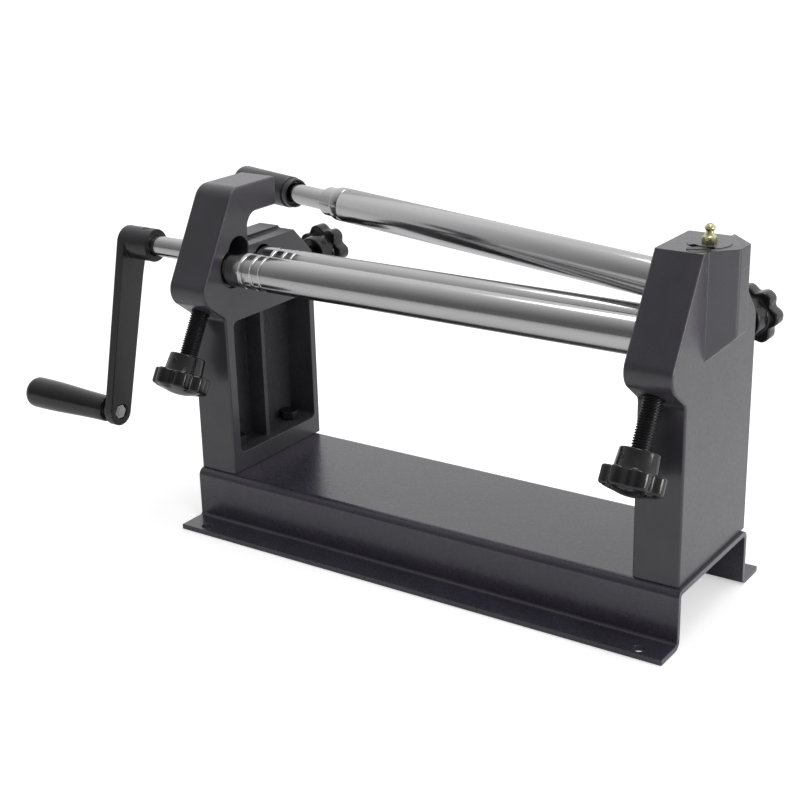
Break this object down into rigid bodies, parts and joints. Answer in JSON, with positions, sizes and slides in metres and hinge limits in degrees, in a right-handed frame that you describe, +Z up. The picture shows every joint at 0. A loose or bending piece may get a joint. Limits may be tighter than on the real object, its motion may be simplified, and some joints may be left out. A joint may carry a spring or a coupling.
{
  "type": "bench slip roll",
  "caption": "Hand-cranked bench slip roll: folded steel base, two end castings, three rolls, star-knob adjusters and a swing-out top roll.",
  "frame": {"origin": "middle of the base footprint, at bench level", "axes": "+X along the rolls away from the crank, +Y to the rear, the side that the top roll swings out to, +Z up"},
  "size_m": [0.702, 0.2609, 0.3089],
  "materials": {
    "deck_paint": "hammertone",
    "casting_paint": "hammertone paint",
    "zinc": "zinc plated",
    "black_oxide": "black oxide",
    "bronze": "machined bearing bronze",
    "roll_steel": "turned",
    "knob_plastic": "gloss",
    "crank_paint": "satin paint",
    "nipple_brass": "yellow passivated"
  },
  "bodies": {
    "frame": {"base_channel": "deck_paint", "left_casting": "casting_paint", "right_casting": "casting_paint", "casting_bolts": "black_oxide", "casting_nuts": "black_oxide", "rear_nuts": "black_oxide", "swivel_key": "black_oxide"},
    "bend_carriage": {"bend_bearings": "bronze"},
    "bend_roll": {"bend_roll": "roll_steel"},
    "front_left_adjuster": {"front_screw_left": "black_oxide", "front_knob_left": "knob_plastic"},
    "front_right_adjuster": {"front_screw_right": "black_oxide", "front_knob_right": "knob_plastic"},
    "pinch_carriage": {"pinch_bearings": "bronze"},
    "drive_shaft": {"drive_roll": "roll_steel", "crank_arm": "crank_paint", "crank_set_screw": "black_oxide", "handle_bolt": "zinc", "handle_nut": "zinc"},
    "crank_grip": {"crank_grip": "knob_plastic"},
    "wedge_left": {"wedge_left": "black_oxide"},
    "wedge_right": {"wedge_right": "black_oxide"},
    "rear_left_adjuster": {"rear_screw_left": "black_oxide", "rear_knob_left": "knob_plastic"},
    "rear_right_adjuster": {"rear_screw_right": "black_oxide", "rear_knob_right": "knob_plastic"},
    "swivel": {"swivel_post": "casting_paint", "grease_nipple": "nipple_brass"},
    "top_roll": {"top_roll": "roll_steel", "retaining_ring": "black_oxide", "release_handle": "black_oxide"}
  },
  "joints": [
    {"name": "front_left_screw_turn", "type": "hinge", "parent": "bend_carriage", "child": "front_left_adjuster", "pos_m": [-0.2138, -0.044, 0.2307], "axis": [0, 0.5, 0.866], "range_deg": [0, 2627]},
    {"name": "front_right_screw_turn", "type": "hinge", "parent": "bend_carriage", "child": "front_right_adjuster", "pos_m": [0.2056, -0.044, 0.2307], "axis": [0, 0.5, 0.866], "range_deg": [0, 2628]},
    {"name": "bend_slide", "type": "slide", "parent": "frame", "child": "bend_carriage", "axis": [0, 0.5, 0.866], "range_m": [0, 0.0146]},
    {"name": "bend_roll_spin", "type": "hinge", "parent": "bend_carriage", "child": "bend_roll", "pos_m": [0, -0.044, 0.2307], "axis": [1, 0, 0], "continuous": true},
    {"name": "rear_left_screw_turn", "type": "hinge", "parent": "wedge_left", "child": "rear_left_adjuster", "pos_m": [-0.2138, 0.065, 0.2093], "axis": [0, -1, 0], "range_deg": [0, 2384]},
    {"name": "rear_right_screw_turn", "type": "hinge", "parent": "wedge_right", "child": "rear_right_adjuster", "pos_m": [0.2056, 0.065, 0.2093], "axis": [0, -1, 0], "range_deg": [0, 2385]},
    {"name": "wedge_left_slide", "type": "slide", "parent": "frame", "child": "wedge_left", "axis": [0, -1, 0], "range_m": [0, 0.01325]},
    {"name": "wedge_right_slide", "type": "slide", "parent": "frame", "child": "wedge_right", "axis": [0, -1, 0], "range_m": [0, 0.01325]},
    {"name": "pinch_slide", "type": "slide", "parent": "frame", "child": "pinch_carriage", "axis": [0, 0, 1], "range_m": [0, 0.0038]},
    {"name": "crank_turn", "type": "hinge", "parent": "pinch_carriage", "child": "drive_shaft", "pos_m": [0, -0.0045, 0.2265], "axis": [1, 0, 0], "continuous": true},
    {"name": "grip_spin", "type": "hinge", "parent": "drive_shaft", "child": "crank_grip", "pos_m": [-0.4, -0.04138, 0.07287], "axis": [1, 0, 0], "continuous": true},
    {"name": "top_roll_swing", "type": "hinge", "parent": "frame", "child": "swivel", "pos_m": [0.218, -0.009, 0.2603], "axis": [0, 0, 1], "range_deg": [-4, 14.25]},
    {"name": "top_roll_spin", "type": "hinge", "parent": "swivel", "child": "top_roll", "pos_m": [0.218, -0.009, 0.2603], "axis": [-0.9692, 0.2462, 0], "continuous": true}
  ],
  "couplings": [
    {"joint": "front_left_screw_turn", "follows": "bend_slide", "rad_per_m": 3141},
    {"joint": "front_right_screw_turn", "follows": "bend_slide", "rad_per_m": 3141},
    {"joint": "wedge_left_slide", "follows": "pinch_slide", "ratio": 3.4867},
    {"joint": "wedge_right_slide", "follows": "pinch_slide", "ratio": 3.4867},
    {"joint": "rear_left_screw_turn", "follows": "pinch_slide", "rad_per_m": 10954},
    {"joint": "rear_right_screw_turn", "follows": "pinch_slide", "rad_per_m": 10954}
  ]
}
